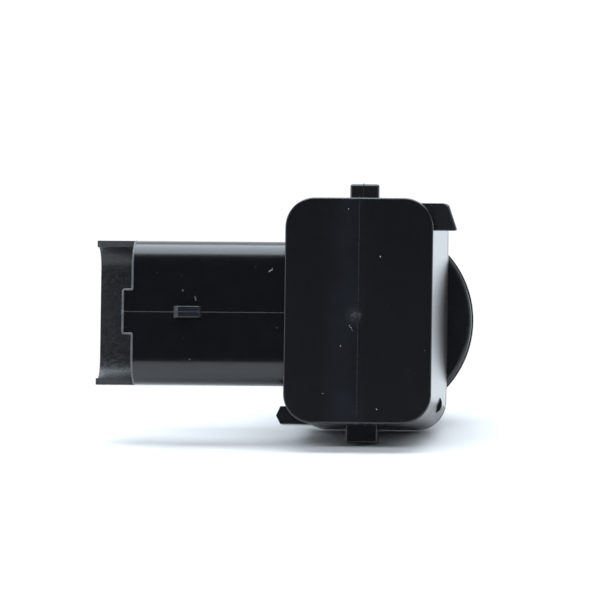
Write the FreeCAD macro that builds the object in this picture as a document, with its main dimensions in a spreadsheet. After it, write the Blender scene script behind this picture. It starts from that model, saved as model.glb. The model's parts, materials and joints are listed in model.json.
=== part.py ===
"""Ultrasonic proximity sensor for a vehicle bumper, as a parametric FreeCAD document.

Millimetres. The origin is on the transducer's axis, in the front face of the round flange. +Y is the way the
membrane faces, +Z is up, and the connector socket points along -X. "Behind" is a distance from the flange's front
face towards -Y, and "ahead" is one towards +Y. Sketches on the XZ plane have X to the right, Z up and their
normal along -Y, so a height on them is a distance behind.
"""

import FreeCAD, Part
import math
import os
import re

import Sketcher
from FreeCAD import Placement, Rotation, Vector

SIZES = {
    # case: a rounded box, closed at the rear
    "case_width": 16.55,
    "case_height": 25.1,
    "case_rise": 0.29,
    "case_corner": 3.3,
    "case_wall": 1.1,
    "case_rear": 17.4,
    "case_seam": 3.5,
    "edge_round": 0.22,
    "fine_round": 0.14,
    "seam_bevel": 0.12,
    "ledge": 0.8,
    # lugs at the middle of the top and bottom walls
    "lug_width": 3.4,
    "low_lug_width": 3.43,
    "lug_rear": 12.9,
    "lug_front": 10.6,
    "lug_top": 14.67,
    "lug_bottom": 14.11,
    "lug_round": 0.35,
    "lug_corner": 0.3,
    "lug_draft": 9.0,
    # wedge-shaped snap lug on the right wall
    "wedge_rear": 16.1,
    "wedge_front": 12.9,
    "wedge_low": 9.28,
    "wedge_high": 12.34,
    "wedge_low_reach": 10.87,
    "wedge_high_reach": 9.83,
    "wedge_trim": 0.2,
    # small barb at the lower left corner
    "barb_rear": 14.4,
    "barb_front": 11.4,
    "barb_top": 10.23,
    "barb_nose": 11.28,
    "barb_foot": 12.2,
    "barb_reach": 9.38,
    "barb_shoulder": 8.9,
    # half-round detent at the lower right corner
    "detent_radius": 1.15,
    "detent_side": 7.36,
    "detent_drop": 9.56,
    "detent_rear": 9.0,
    "detent_front": 6.4,
    # connector socket
    "socket_height": 16.0,
    "socket_width": 7.0,
    "socket_rise": 0.05,
    "socket_rear": 16.6,
    "socket_corner": 3.0,
    "socket_wall": 0.7,
    "socket_floor": 12.0,
    "near_wall_end": 25.4,
    "tongue_end": 26.45,
    "tongue_height": 5.0,
    "far_wall_end": 29.7,
    "trim_plane": 13.7,
    "nose_start": 17.55,
    "nose_end": 20.7,
    "nose_height": 1.3,
    "nose_proud": 0.5,
    # contact pins and their carrier
    "pin_size": 0.64,
    "pin_pitch": 2.2,
    "pin_tip": 20.0,
    "pin_foot": 5.0,
    "pin_behind": 13.1,
    "pin_end": 8.4,
    "pin_taper": 0.2,
    "pin_bend": 0.6,
    "carrier_height": 8.4,
    "carrier_width": 2.6,
    "carrier_inner": 6.365,
    # front carrier
    "cover_front": 2.6,
    "cover_rib_end": 4.7,
    "cover_rib": 0.9,
    "neck_radius": 7.7,
    "neck_bore": 6.9,
    "flange_radius": 10.85,
    "flange_back": 1.8,
    "flange_round": 0.5,
    "flange_rim_radius": 10.97,
    "flange_rim_back": 1.25,
    "flange_rim_front": 1.0,
    "flange_land_radius": 10.75,
    "collar_radius": 9.3,
    "collar_bore": 8.6,
    "collar_ahead": 2.4,
    "seat_behind": 0.9,
    # transducer head
    "cup_radius": 7.8,
    "cup_bore": 6.6,
    "cup_ahead": 5.9,
    "cup_behind": 0.3,
    "membrane_thick": 0.8,
    "cup_round": 0.5,
    "isolator_radius": 8.4,
    "isolator_bore": 6.1,
    "ring_radius": 8.5,
    "ring_gap": 0.06,
    "ring_lip": 9.1,
    "ring_lip_back": 2.5,
    "ring_ahead": 3.7,
    "ring_foot": 0.05,
    "ring_round": 0.25,
    "piezo_radius": 4.0,
    "piezo_thick": 0.5,
    "felt_radius": 6.5,
    "felt_ahead": 4.4,
    "foam_ahead": 2.9,
    "base_ahead": 0.9,
    "boss_radius": 5.95,
    "boss_behind": 1.9,
    "wire_hole": 0.35,
    "wire_radius": 0.22,
    "wire_signal_side": 1.5,
    "wire_ground_side": 4.9,
    "wire_ground_foot": 3.0,
    "wire_bend_start": 3.6,
    "wire_bend_end": 6.4,
    "wire_end": 10.6,
    # circuit board and what is on it
    "board_front": 9.2,
    "board_rear": 10.2,
    "board_gap": 0.15,
    "board_corner": 1.6,
    "pin_hole": 0.5,
    "lead_hole": 0.32,
    "solder_height": 0.5,
    "pin_solder_foot": 0.95,
    "pin_solder_top": 0.55,
    "wire_solder_foot": 0.7,
    "wire_solder_top": 0.36,
    "chip_width": 4.0,
    "chip_length": 5.0,
    "chip_thick": 1.4,
    "chip_stand": 0.1,
    "chip_side": 1.6,
    "chip_drop": 3.7,
    "chip_lead_pitch": 1.27,
    "chip_lead_width": 0.42,
    "chip_lead_reach": 0.9,
    "chip_lead_thick": 0.22,
    "chip_lead_rise": 0.75,
    "coil_up": 7.3,
    "coil_base_side": 5.2,
    "coil_base_thick": 0.5,
    "coil_flange_radius": 1.95,
    "coil_hub_radius": 0.9,
    "coil_flange_thick": 0.6,
    "coil_height": 2.9,
    "coil_wire_radius": 1.8,
    "coil_clear": 0.05,
    "shield_side": 5.0,
    "shield_wall": 0.35,
    "shield_height": 3.6,
    "can_radius": 2.0,
    "can_height": 3.7,
    "can_base_side": 4.3,
    "can_base_thick": 0.5,
    "can_groove": 0.2,
    "can_groove_at": 1.1,
    "can_side": 3.3,
    "can_drop": 8.0,
    "diode_length": 2.7,
    "diode_width": 1.6,
    "diode_thick": 1.1,
    "diode_side": 3.0,
    "diode_drop": 8.6,
    "passive_length": 1.6,
    "passive_width": 0.8,
    "resistor_thick": 0.45,
    "capacitor_thick": 0.8,
    # resin and fits
    "resin_gap": 0.02,
    "resin_channel": 0.45,
    "fit_gap": 0.03,
}

# Centres of the small passive parts on the board's front, as (X, Z).
RESISTOR_SPOTS = [(-5.4, 6.0), (-5.4, 7.6), (-5.4, 9.2), (5.4, 4.4), (5.4, 2.6), (-1.2, 2.6), (0.9, 2.6)]
CAPACITOR_SPOTS = [(5.4, 6.2), (5.4, 8.0), (-5.2, 4.2), (3.2, 1.0), (5.6, -1.0)]

SOLDERED_PINS = {"supply_pin": 1, "signal_pin": 0, "ground_pin": -1}
SKETCH_ORIGIN = (-1, 1)
START_POINT = 1
CENTRE_POINT = 3
NORMAL = Vector(0, 0, 1)
QUARTER = math.pi / 2
NEARLY = 1e-4
STRAIGHT = 1e-6

doc = FreeCAD.newDocument("proximity_sensor")
sheet = doc.addObject("Spreadsheet::Sheet", "Dims")
for row, (alias, value) in enumerate(SIZES.items(), start=1):
    sheet.set(f"A{row}", alias)
    sheet.set(f"B{row}", str(value))
    sheet.setAlias(f"B{row}", alias)
doc.recompute()


def dim(text):
    """Turns words that are names in the sheet, such as in "case_width / 2", into an expression's references."""
    return re.sub("[a-z_]+", r"Dims.\g<0>", text)


def new_body(label):
    part = doc.addObject("PartDesign::Body", label)
    part.Label = label
    return part


def place(part, across="0", ahead="0", up="0", rotation=None):
    """Puts a sub-part's own origin at X, Y and Z given as expressions."""
    part.Placement = Placement(Vector(), rotation or Rotation())
    for axis, text in zip("xyz", (across, ahead, up)):
        part.setExpression(f".Placement.Base.{axis}", dim(text))


def new_sketch(part, name, plane, height="0"):
    """A sketch parallel to one of the body's origin planes, at a height along its normal."""
    drawn = part.newObject("Sketcher::SketchObject", name)
    datum = next(f for f in part.Origin.OriginFeatures if f.Role == plane)
    drawn.AttachmentSupport = [(datum, "")]
    drawn.MapMode = "FlatFace"
    drawn.setExpression(".AttachmentOffset.Base.z", dim(height))
    return drawn


def hold(drawn, edge, point, across, along):
    """Holds one point of a sketch's edge at two expressions from the sketch's origin."""
    for kind, text in (("DistanceX", across), ("DistanceY", along)):
        index = drawn.addConstraint(Sketcher.Constraint(kind, *SKETCH_ORIGIN, edge, point, 1.0))
        drawn.setExpression(f"Constraints[{index}]", dim(text))


def draw_polygon(drawn, corners):
    """A closed outline through corners, each an (across, along) pair of expressions."""
    first, count = drawn.GeometryCount, len(corners)
    seeds = [Rotation(Vector(0, 0, 1), 360 * i / count).multVec(Vector(5, 0, 0)) for i in range(count)]
    for i in range(count):
        drawn.addGeometry(Part.LineSegment(seeds[i], seeds[(i + 1) % count]))
    for i in range(count):
        drawn.addConstraint(Sketcher.Constraint("Coincident", first + i, 2, first + (i + 1) % count, 1))
    for i, (across, along) in enumerate(corners):
        hold(drawn, first + i, START_POINT, across, along)


def draw_open_path(drawn, corners):
    """Straight runs joined end to end, through corners given as for draw_polygon."""
    count = len(corners)
    for i in range(count - 1):
        drawn.addGeometry(Part.LineSegment(Vector(0, i, 0), Vector(0, i + 1, 0)))
    for i in range(count - 2):
        drawn.addConstraint(Sketcher.Constraint("Coincident", i, 2, i + 1, 1))
    for i, (across, along) in enumerate(corners[:-1]):
        hold(drawn, i, START_POINT, across, along)
    hold(drawn, count - 2, 2, *corners[-1])


def draw_rectangle(drawn, width, height, across="0", along="0"):
    left, right = f"{across} - ( {width} ) / 2", f"{across} + ( {width} ) / 2"
    low, high = f"{along} - ( {height} ) / 2", f"{along} + ( {height} ) / 2"
    draw_polygon(drawn, [(left, low), (right, low), (right, high), (left, high)])


def draw_rounded_rectangle(drawn, width, height, radius, across="0", along="0"):
    """Four corner arcs, anticlockwise from the upper right, each joined to the next by a tangent line."""
    first, corners = drawn.GeometryCount, [(1, 1), (-1, 1), (-1, -1), (1, -1)]
    arcs = [
        Part.ArcOfCircle(Part.Circle(Vector(4 * side, 4 * rise, 0), NORMAL, 1), i * QUARTER, (i + 1) * QUARTER)
        for i, (side, rise) in enumerate(corners)
    ]
    lines = [Part.LineSegment(arcs[i].EndPoint, arcs[(i + 1) % 4].StartPoint) for i in range(4)]
    for edge in arcs + lines:
        drawn.addGeometry(edge)
    for i, (side, rise) in enumerate(corners):
        arc, line, next_arc = first + i, first + 4 + i, first + (i + 1) % 4
        drawn.addConstraint(Sketcher.Constraint("Tangent", arc, 2, line, 1))
        drawn.addConstraint(Sketcher.Constraint("Tangent", line, 2, next_arc, 1))
        out = f"{across} + {side} * ( ( {width} ) / 2 - ( {radius} ) )"
        up = f"{along} + {rise} * ( ( {height} ) / 2 - ( {radius} ) )"
        hold(drawn, arc, CENTRE_POINT, out, up)
        index = drawn.addConstraint(Sketcher.Constraint("Radius", arc, 1.0))
        drawn.setExpression(f"Constraints[{index}]", dim(radius))


def draw_circle(drawn, radius, across="0", along="0"):
    edge = drawn.addGeometry(Part.Circle(Vector(1, 1, 0), Vector(0, 0, 1), 1))
    hold(drawn, edge, CENTRE_POINT, across, along)
    index = drawn.addConstraint(Sketcher.Constraint("Radius", edge, 1.0))
    drawn.setExpression(f"Constraints[{index}]", dim(radius))


def extrude(part, kind, drawn, length, reverse=False, midplane=False, draft=None):
    """A Pad or Pocket of a sketch. A Pad follows the sketch's normal and a Pocket goes against it."""
    feature = part.newObject(f"PartDesign::{kind}", f"{drawn.Name}_{kind.lower()}")
    feature.Profile = drawn
    feature.setExpression("Length", dim(length))
    feature.Reversed = reverse
    feature.Midplane = midplane
    if draft:
        feature.setExpression("TaperAngle", dim(draft))
    before = volume_of(feature.BaseFeature) if feature.BaseFeature else 0.0
    doc.recompute()
    changed = volume_of(feature) - before
    if (kind == "Pad") != (changed > 0):
        raise RuntimeError(f"{feature.Name} changed the volume by {changed}")
    return feature


def volume_of(feature):
    return feature.Shape.Volume


def pad(part, drawn, length, **options):
    return extrude(part, "Pad", drawn, length, **options)


def pocket(part, drawn, length, **options):
    return extrude(part, "Pocket", drawn, length, **options)


def revolve(part, drawn, kind="Revolution", axis="V_Axis"):
    feature = part.newObject(f"PartDesign::{kind}", f"{drawn.Name}_turned")
    feature.Profile = drawn
    feature.ReferenceAxis = (drawn, [axis])
    feature.Angle = 360
    doc.recompute()
    return feature


def dress(part, kind, size_name, chosen):
    """Rounds or bevels the edges of the body's tip that chosen(edge) picks."""
    base = part.Tip
    names = [f"Edge{i}" for i, edge in enumerate(base.Shape.Edges, start=1) if chosen(edge)]
    if not names:
        raise RuntimeError(f"no edges to dress on {part.Label}")
    feature = part.newObject(f"PartDesign::{kind}", f"{part.Label}_{kind.lower()}")
    feature.Base = (base, names)
    feature.setExpression("Radius" if kind == "Fillet" else "Size", dim(size_name))
    doc.recompute()
    if not feature.Shape.isValid():
        raise RuntimeError(f"{feature.Name} has no valid shape")
    return feature


def box_of(edge):
    return edge.BoundBox


def along_axis(axis, edge):
    """Whether an edge is a straight one parallel to "X", "Y" or "Z"."""
    spans = {name: getattr(box_of(edge), f"{name}Length") for name in "XYZ"}
    run = spans.pop(axis)
    return max(spans.values()) < STRAIGHT < run


def near(value, target, within=NEARLY):
    return abs(value - target) < within


def flat_at(edge, ahead):
    """Whether an edge lies wholly in the plane across the axis at that distance ahead."""
    return near(box_of(edge).YMin, ahead) and near(box_of(edge).YMax, ahead)


def size(text):
    """The number that a name in the sheet stands for."""
    return float(sheet.get(text))


def box_shape(name, length, width, height, across, ahead, up):
    """A Part::Box centred across and up, which starts at ahead and runs towards +Y."""
    block = doc.addObject("Part::Box", name)
    block.setExpression("Length", dim(length))
    block.setExpression("Width", dim(width))
    block.setExpression("Height", dim(height))
    place(block, f"{across} - ( {length} ) / 2", ahead, f"{up} - ( {height} ) / 2")
    return block


def group(label, members):
    compound = doc.addObject("Part::Compound", label)
    compound.Label = label
    compound.Links = members
    compound.Placement = Placement()
    return compound


# ---------------------------------------------------------------- case and socket


def pad_case(part):
    outline = new_sketch(part, "case_outline", "XZ_Plane", "case_seam")
    draw_rectangle(outline, "case_width", "case_height", along="case_rise")
    pad(part, outline, "case_rear - case_seam")
    dress(part, "Fillet", "case_corner", lambda edge: along_axis("Y", edge))
    rear, seam = -size("case_rear"), -size("case_seam")
    dress(part, "Fillet", "edge_round", lambda edge: near(box_of(edge).YMax, rear))
    dress(part, "Chamfer", "seam_bevel", lambda edge: near(box_of(edge).YMin, seam))


def crosses(edge, place):
    """Whether an edge runs from one side of an X position to the other."""
    return box_of(edge).XMin < place < box_of(edge).XMax


def runs_back(edge, rear, front):
    """Whether an edge runs all the way between two depths, as a lug's corners do."""
    box = box_of(edge)
    return near(box.YMin, -size(rear)) and near(box.YMax, -size(front))


def snap_lug(part, name, corners, rear, front):
    """A lug whose full outline is its rear face, and whose sides draw in towards the front."""
    outline = new_sketch(part, name, "XZ_Plane", rear)
    draw_polygon(outline, corners)
    pad(part, outline, f"{rear} - {front}", reverse=True, draft="-lug_draft")


def add_lugs(part):
    """Snap lugs above and on the right wall, a straight one below, a barb and a detent at the lower corners."""
    half, inside = "lug_width / 2", "case_height / 2 - case_wall"
    root = f"case_rise + {inside}"
    corners = [(f"-{half}", root), (half, root), (half, "lug_top"), (f"-{half}", "lug_top")]
    snap_lug(part, "top_lug", corners, "lug_rear", "lug_front")
    rear, above = -size("lug_rear"), size("case_height") / 2 + size("case_rise") - size("edge_round")
    crest = size("lug_top") - size("lug_corner")
    dress(
        part,
        "Fillet",
        "lug_corner",
        lambda edge: runs_back(edge, "lug_rear", "lug_front") and box_of(edge).ZMax > crest,
    )
    dress(part, "Fillet", "lug_round", lambda edge: near(box_of(edge).YMin, rear) and box_of(edge).ZMax > above)

    half, root = "low_lug_width / 2", f"case_rise - ( {inside} )"
    low = new_sketch(part, "low_lug", "XZ_Plane", "lug_front")
    draw_polygon(low, [(f"-{half}", root), (half, root), (half, "-lug_bottom"), (f"-{half}", "-lug_bottom")])
    pad(part, low, "lug_rear - lug_front")
    below = -size("lug_bottom")
    dress(
        part,
        "Fillet",
        "fine_round",
        lambda edge: near(box_of(edge).YMin, rear) and box_of(edge).ZMin < below + NEARLY,
    )

    wall, high = "case_width / 2 - case_wall", "wedge_high"
    corners = [
        (wall, "wedge_low"),
        ("wedge_low_reach", "wedge_low"),
        ("wedge_high_reach + wedge_trim / 3", "wedge_high - wedge_trim"),
        ("wedge_high_reach - wedge_trim", high),
        ("case_width / 4", high),
    ]
    snap_lug(part, "wedge_lug", corners, "wedge_rear", "wedge_front")
    rear, beside = -size("wedge_rear"), size("wedge_high_reach") - size("wedge_trim")
    dress(part, "Fillet", "lug_round", lambda edge: flat_at(edge, rear) and box_of(edge).XMin > beside - NEARLY)
    below = size("wedge_low") + NEARLY
    dress(
        part,
        "Fillet",
        "fine_round",
        lambda edge: flat_at(edge, rear) and box_of(edge).ZMax < below and crosses(edge, beside),
    )
    barb = new_sketch(part, "barb", "XZ_Plane", "barb_front")
    corners = [
        ("-case_width / 2 + case_wall", "-barb_top"),
        ("-barb_shoulder", "-barb_top"),
        ("-barb_reach", "-barb_nose"),
        ("-barb_shoulder", "-barb_foot"),
        ("-case_width / 2 + case_corner", "-barb_foot"),
        ("-case_width / 2 + case_corner", "-barb_top"),
    ]
    draw_polygon(barb, corners)
    pad(part, barb, "barb_rear - barb_front")
    detent = new_sketch(part, "detent", "XZ_Plane", "detent_front")
    draw_circle(detent, "detent_radius", "detent_side", "-detent_drop")
    pad(part, detent, "detent_rear - detent_front")


def add_socket(part):
    """Connector socket: a stadium tube with a longer wall on its front side and a tongue on its rear side."""
    middle = "-( socket_rear - socket_width / 2 )"
    outline = new_sketch(part, "socket_outline", "YZ_Plane", "-case_width / 2 + case_wall / 2")
    draw_rectangle(outline, "socket_width", "socket_height", middle, "socket_rise")
    pad(part, outline, "far_wall_end - case_width / 2 + case_wall / 2", reverse=True)
    outer_end = -size("far_wall_end")
    case_side = -size("case_width") / 2
    dress(
        part,
        "Fillet",
        "socket_corner",
        lambda edge: along_axis("X", edge)
        and near(box_of(edge).XMin, outer_end)
        and box_of(edge).XMax <= case_side + NEARLY,
    )
    nose = new_sketch(part, "coding_nose", "XY_Plane", "socket_rise")
    draw_polygon(
        nose,
        [
            ("-nose_start", "-socket_rear"),
            ("-nose_start - nose_proud / 2", "-socket_rear - nose_proud"),
            ("-nose_end + nose_proud", "-socket_rear - nose_proud"),
            ("-nose_end", "-socket_rear"),
            ("-nose_end", "-socket_rear + socket_wall"),
            ("-nose_start", "-socket_rear + socket_wall"),
        ],
    )
    pad(part, nose, "nose_height", midplane=True)
    outer = -size("socket_rear") - size("nose_proud")
    dress(part, "Fillet", "fine_round", lambda edge: flat_at(edge, outer))


def cut_socket(part):
    middle = "-( socket_rear - socket_width / 2 )"
    cavity = new_sketch(part, "socket_cavity", "YZ_Plane", "-socket_floor")
    inner_width, inner_height = "socket_width - 2 * socket_wall", "socket_height - 2 * socket_wall"
    draw_rounded_rectangle(cavity, inner_width, inner_height, "socket_corner - socket_wall", middle, "socket_rise")
    pocket(part, cavity, "far_wall_end - socket_floor + case_wall")
    trim = new_sketch(part, "mouth_trim", "XZ_Plane", "trim_plane")
    reach = "socket_height / 2 + case_wall"
    up, down = f"{reach} + socket_rise", f"-( {reach} ) + socket_rise"
    tongue_up, tongue_down = "tongue_height / 2 + socket_rise", "-tongue_height / 2 + socket_rise"
    beyond = "-far_wall_end - case_wall"
    draw_polygon(
        trim,
        [
            ("-near_wall_end", up),
            ("-near_wall_end", tongue_up),
            ("-tongue_end", tongue_up),
            ("-tongue_end", tongue_down),
            ("-near_wall_end", tongue_down),
            ("-near_wall_end", down),
            (beyond, down),
            (beyond, up),
        ],
    )
    pocket(part, trim, "socket_width", reverse=True)


def cut_interior(part):
    """The well for the board and the carrier, the smaller well behind the board, and the carrier's window."""
    inner_width, inner_height = "case_width - 2 * case_wall", "case_height - 2 * case_wall"
    well = new_sketch(part, "board_well", "XZ_Plane", "case_seam")
    draw_rectangle(well, inner_width, inner_height, along="case_rise")
    pocket(part, well, "board_rear - case_seam", reverse=True)
    side, seam = size("case_width") / 2 - size("case_wall"), -size("case_seam")
    dress(
        part,
        "Fillet",
        "case_corner - case_wall",
        lambda edge: along_axis("Y", edge)
        and near(abs(box_of(edge).XMin), side)
        and near(box_of(edge).YMax, seam)
        and box_of(edge).YLength > side / 2,
    )
    deep = new_sketch(part, "resin_well", "XZ_Plane", "board_rear")
    draw_rectangle(deep, f"{inner_width} - 2 * ledge", f"{inner_height} - 2 * ledge", along="case_rise")
    pocket(part, deep, "case_rear - case_wall - board_rear", reverse=True)
    window = new_sketch(part, "carrier_window", "YZ_Plane", "-socket_floor")
    draw_rectangle(window, "carrier_width + 2 * fit_gap", "carrier_height + 2 * fit_gap", "-pin_behind", "socket_rise")
    pocket(part, window, "socket_floor - carrier_inner", reverse=True)


def rear_housing():
    part = new_body("rear_housing")
    pad_case(part)
    add_lugs(part)
    add_socket(part)
    cut_socket(part)
    cut_interior(part)
    return part


def pin_carrier():
    """Insert that closes the socket's floor and holds the three pins."""
    part = new_body("pin_carrier")
    block = new_sketch(part, "carrier_block", "YZ_Plane", "-socket_floor")
    draw_rectangle(block, "carrier_width", "carrier_height", "-pin_behind", "socket_rise")
    pad(part, block, "socket_floor - carrier_inner")
    holes = new_sketch(part, "carrier_holes", "YZ_Plane", "-carrier_inner")
    for place_in_row in SOLDERED_PINS.values():
        rise = f"socket_rise + pin_pitch * {place_in_row}"
        draw_rectangle(holes, "pin_size + 2 * resin_gap", "pin_size + 2 * resin_gap", "-pin_behind", rise)
    pocket(part, holes, "socket_floor - carrier_inner")
    return part


def contact_pin(label, place_in_row):
    """Square pin that runs out into the socket and turns forward through the board."""
    part = new_body(label)
    half = "pin_size / 2"
    profile = new_sketch(part, f"{label}_profile", "XY_Plane")
    draw_polygon(
        profile,
        [
            ("-pin_tip", half),
            ("-pin_tip", f"-{half}"),
            (f"-pin_foot + {half}", f"-{half}"),
            (f"-pin_foot + {half}", "pin_behind - pin_end"),
            (f"-pin_foot - {half}", "pin_behind - pin_end"),
            (f"-pin_foot - {half}", half),
        ],
    )
    pad(part, profile, "pin_size", midplane=True)
    heel, half_size = -size("pin_foot") + size("pin_size") / 2, size("pin_size") / 2
    dress(
        part,
        "Fillet",
        "pin_bend",
        lambda edge: along_axis("Z", edge)
        and near(box_of(edge).XMin, heel)
        and near(box_of(edge).YMin, -half_size),
    )
    tip = -size("pin_tip")
    dress(part, "Chamfer", "pin_taper", lambda edge: near(box_of(edge).XMin, tip) and near(box_of(edge).XMax, tip))
    place(part, ahead="-pin_behind", up=f"socket_rise + pin_pitch * {place_in_row}")
    return part


# ---------------------------------------------------------------- transducer head


def front_carrier():
    """Front cover of the case, with the neck, the round flange and the collar in one piece."""
    part = new_body("front_carrier")
    plate = new_sketch(part, "cover_plate", "XZ_Plane", "cover_front")
    draw_rectangle(plate, "case_width", "case_height", along="case_rise")
    pad(part, plate, "case_seam - cover_front")
    dress(part, "Fillet", "case_corner", lambda edge: along_axis("Y", edge))
    seam, front = -size("case_seam"), -size("cover_front")
    dress(part, "Chamfer", "seam_bevel", lambda edge: near(box_of(edge).YMax, seam))
    dress(part, "Fillet", "edge_round", lambda edge: near(box_of(edge).YMin, front))
    rib = new_sketch(part, "cover_rib_ring", "XZ_Plane", "case_seam")
    width = "case_width - 2 * case_wall - 2 * fit_gap"
    height = "case_height - 2 * case_wall - 2 * fit_gap"
    corner = "case_corner - case_wall - fit_gap"
    draw_rounded_rectangle(rib, width, height, corner, along="case_rise")
    inner = [f"{text} - {times} cover_rib" for text, times in ((width, "2 *"), (height, "2 *"), (corner, "1 *"))]
    draw_rounded_rectangle(rib, *inner, along="case_rise")
    pad(part, rib, "cover_rib_end - case_seam")
    head = new_sketch(part, "flange_profile", "XY_Plane")
    draw_polygon(
        head,
        [
            ("0", "-case_seam"),
            ("neck_radius", "-case_seam"),
            ("neck_radius", "-flange_back"),
            ("flange_radius", "-flange_back"),
            ("flange_radius", "-flange_rim_back"),
            ("flange_rim_radius", "-flange_rim_back"),
            ("flange_rim_radius", "-flange_rim_front"),
            ("flange_land_radius", "-flange_rim_front"),
            ("flange_land_radius", "0"),
            ("collar_radius", "0"),
            ("collar_radius", "collar_ahead"),
            ("0", "collar_ahead"),
        ],
    )
    revolve(part, head)
    bore = new_sketch(part, "carrier_bore", "XY_Plane")
    draw_polygon(
        bore,
        [
            ("0", "-case_seam - fit_gap"),
            ("neck_bore", "-case_seam - fit_gap"),
            ("neck_bore", "-seat_behind"),
            ("collar_bore", "-seat_behind"),
            ("collar_bore", "collar_ahead + fit_gap"),
            ("0", "collar_ahead + fit_gap"),
        ],
    )
    revolve(part, bore, kind="Groove")
    rim, back = 2 * size("flange_radius"), -size("flange_back")
    dress(
        part,
        "Fillet",
        "flange_round",
        lambda edge: near(box_of(edge).XLength, rim, 0.05) and near(box_of(edge).YMin, back),
    )
    return part


def turned(label, outline, round_size=None, rounded=None):
    """A body turned about the transducer's axis. The outline gives (radius, distance ahead) corners."""
    part = new_body(label)
    profile = new_sketch(part, f"{label}_profile", "XY_Plane")
    draw_polygon(profile, outline)
    revolve(part, profile)
    if round_size:
        dress(part, "Fillet", round_size, rounded)
    return part


def membrane_cup():
    front = size("cup_ahead")
    return turned(
        "membrane_cup",
        [
            ("0", "cup_ahead"),
            ("cup_radius", "cup_ahead"),
            ("cup_radius", "-cup_behind"),
            ("cup_bore", "-cup_behind"),
            ("cup_bore", "cup_ahead - membrane_thick"),
            ("0", "cup_ahead - membrane_thick"),
        ],
        "cup_round",
        lambda edge: flat_at(edge, front),
    )


def decoupling_ring():
    front, lip = size("ring_ahead"), 2 * size("ring_lip")
    return turned(
        "decoupling_ring",
        [
            ("cup_radius + ring_gap", "ring_foot"),
            ("ring_radius", "ring_foot"),
            ("ring_radius", "ring_lip_back"),
            ("ring_lip", "ring_lip_back"),
            ("ring_lip", "ring_ahead"),
            ("cup_radius + ring_gap", "ring_ahead"),
        ],
        "ring_round",
        lambda edge: near(box_of(edge).YMin, front) and near(box_of(edge).XLength, lip, 0.05),
    )


def disc(label, radius, ahead, thick, bore=None):
    """A disc whose front face is at ahead, with a hole through its middle where bore is given."""
    part = new_body(label)
    outline = new_sketch(part, f"{label}_outline", "XZ_Plane", f"-( {ahead} )")
    draw_circle(outline, radius)
    if bore:
        draw_circle(outline, bore)
    pad(part, outline, thick)
    return part


def pierce(part, name, height, depth):
    """Two holes along the axis for the lead wires, cut from a height towards the rear."""
    holes = new_sketch(part, name, "XZ_Plane", height)
    draw_circle(holes, "wire_hole", "wire_signal_side")
    draw_circle(holes, "wire_hole", "-wire_ground_side")
    pocket(part, holes, depth, reverse=True)


def damping_felt():
    part = disc("damping_felt", "felt_radius", "felt_ahead", "felt_ahead - foam_ahead")
    pierce(part, "felt_holes", "-felt_ahead", "felt_ahead - foam_ahead")
    return part


def backing_foam():
    part = disc("backing_foam", "felt_radius", "foam_ahead", "foam_ahead - base_ahead")
    pierce(part, "foam_holes", "-foam_ahead", "foam_ahead - base_ahead")
    return part


def transducer_base():
    part = turned(
        "transducer_base",
        [
            ("0", "base_ahead"),
            ("felt_radius", "base_ahead"),
            ("felt_radius", "-cup_behind + fit_gap"),
            ("boss_radius", "-cup_behind + fit_gap"),
            ("boss_radius", "-boss_behind"),
            ("0", "-boss_behind"),
        ],
    )
    pierce(part, "base_holes", "-base_ahead", "base_ahead + boss_behind")
    return part


def lead_wire(label, path):
    """A round wire swept along straight runs in the XY plane, from the head back to the board."""
    part = new_body(label)
    route = new_sketch(part, f"{label}_route", "XY_Plane")
    draw_open_path(route, path)
    section = new_sketch(part, f"{label}_section", "XZ_Plane", f"-( {path[0][1]} )")
    draw_circle(section, "wire_radius", path[0][0])
    sweep = part.newObject("PartDesign::AdditivePipe", f"{label}_sweep")
    sweep.Profile = section
    sweep.Spine = (route, [f"Edge{i + 1}" for i in range(len(path) - 1)])
    sweep.Transition = "Right corner"
    doc.recompute()
    return part


def lead_wires():
    signal = [
        ("wire_signal_side", "cup_ahead - membrane_thick - piezo_thick"),
        ("wire_signal_side", "-wire_end"),
    ]
    ground = [
        ("-wire_ground_side", "cup_ahead - membrane_thick"),
        ("-wire_ground_side", "-wire_bend_start"),
        ("-wire_ground_foot", "-wire_bend_end"),
        ("-wire_ground_foot", "-wire_end"),
    ]
    return [lead_wire("lead_wire_signal", signal), lead_wire("lead_wire_ground", ground)]


# ---------------------------------------------------------------- circuit board


def circuit_board():
    part = new_body("circuit_board")
    outline = new_sketch(part, "board_outline", "XZ_Plane", "board_front")
    width = "case_width - 2 * case_wall - 2 * board_gap"
    height = "case_height - 2 * case_wall - 2 * board_gap"
    draw_rectangle(outline, width, height, along="case_rise")
    pad(part, outline, "board_rear - board_front - resin_gap")
    dress(part, "Fillet", "board_corner + case_wall / 2", lambda edge: along_axis("Y", edge))
    holes = new_sketch(part, "board_holes", "XZ_Plane", "board_front")
    for place_in_row in SOLDERED_PINS.values():
        draw_circle(holes, "pin_hole", "-pin_foot", f"socket_rise + pin_pitch * {place_in_row}")
    draw_circle(holes, "lead_hole", "wire_signal_side")
    draw_circle(holes, "lead_hole", "-wire_ground_foot")
    pocket(part, holes, "board_rear - board_front", reverse=True)
    return part


def solder_cone(name, foot, top, hole, across, up):
    """A cone of solder on the board's front, with the hole that its wire or pin fills."""
    cone = doc.addObject("Part::Cone", f"{name}_cone")
    cone.setExpression("Radius1", dim(foot))
    cone.setExpression("Radius2", dim(top))
    cone.setExpression("Height", dim("solder_height"))
    place(cone, across, "-board_front", up, Rotation(Vector(1, 0, 0), -90))
    cut = doc.addObject("Part::Cut", name)
    cut.Base = cone
    cut.Tool = hole
    return cut


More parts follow.
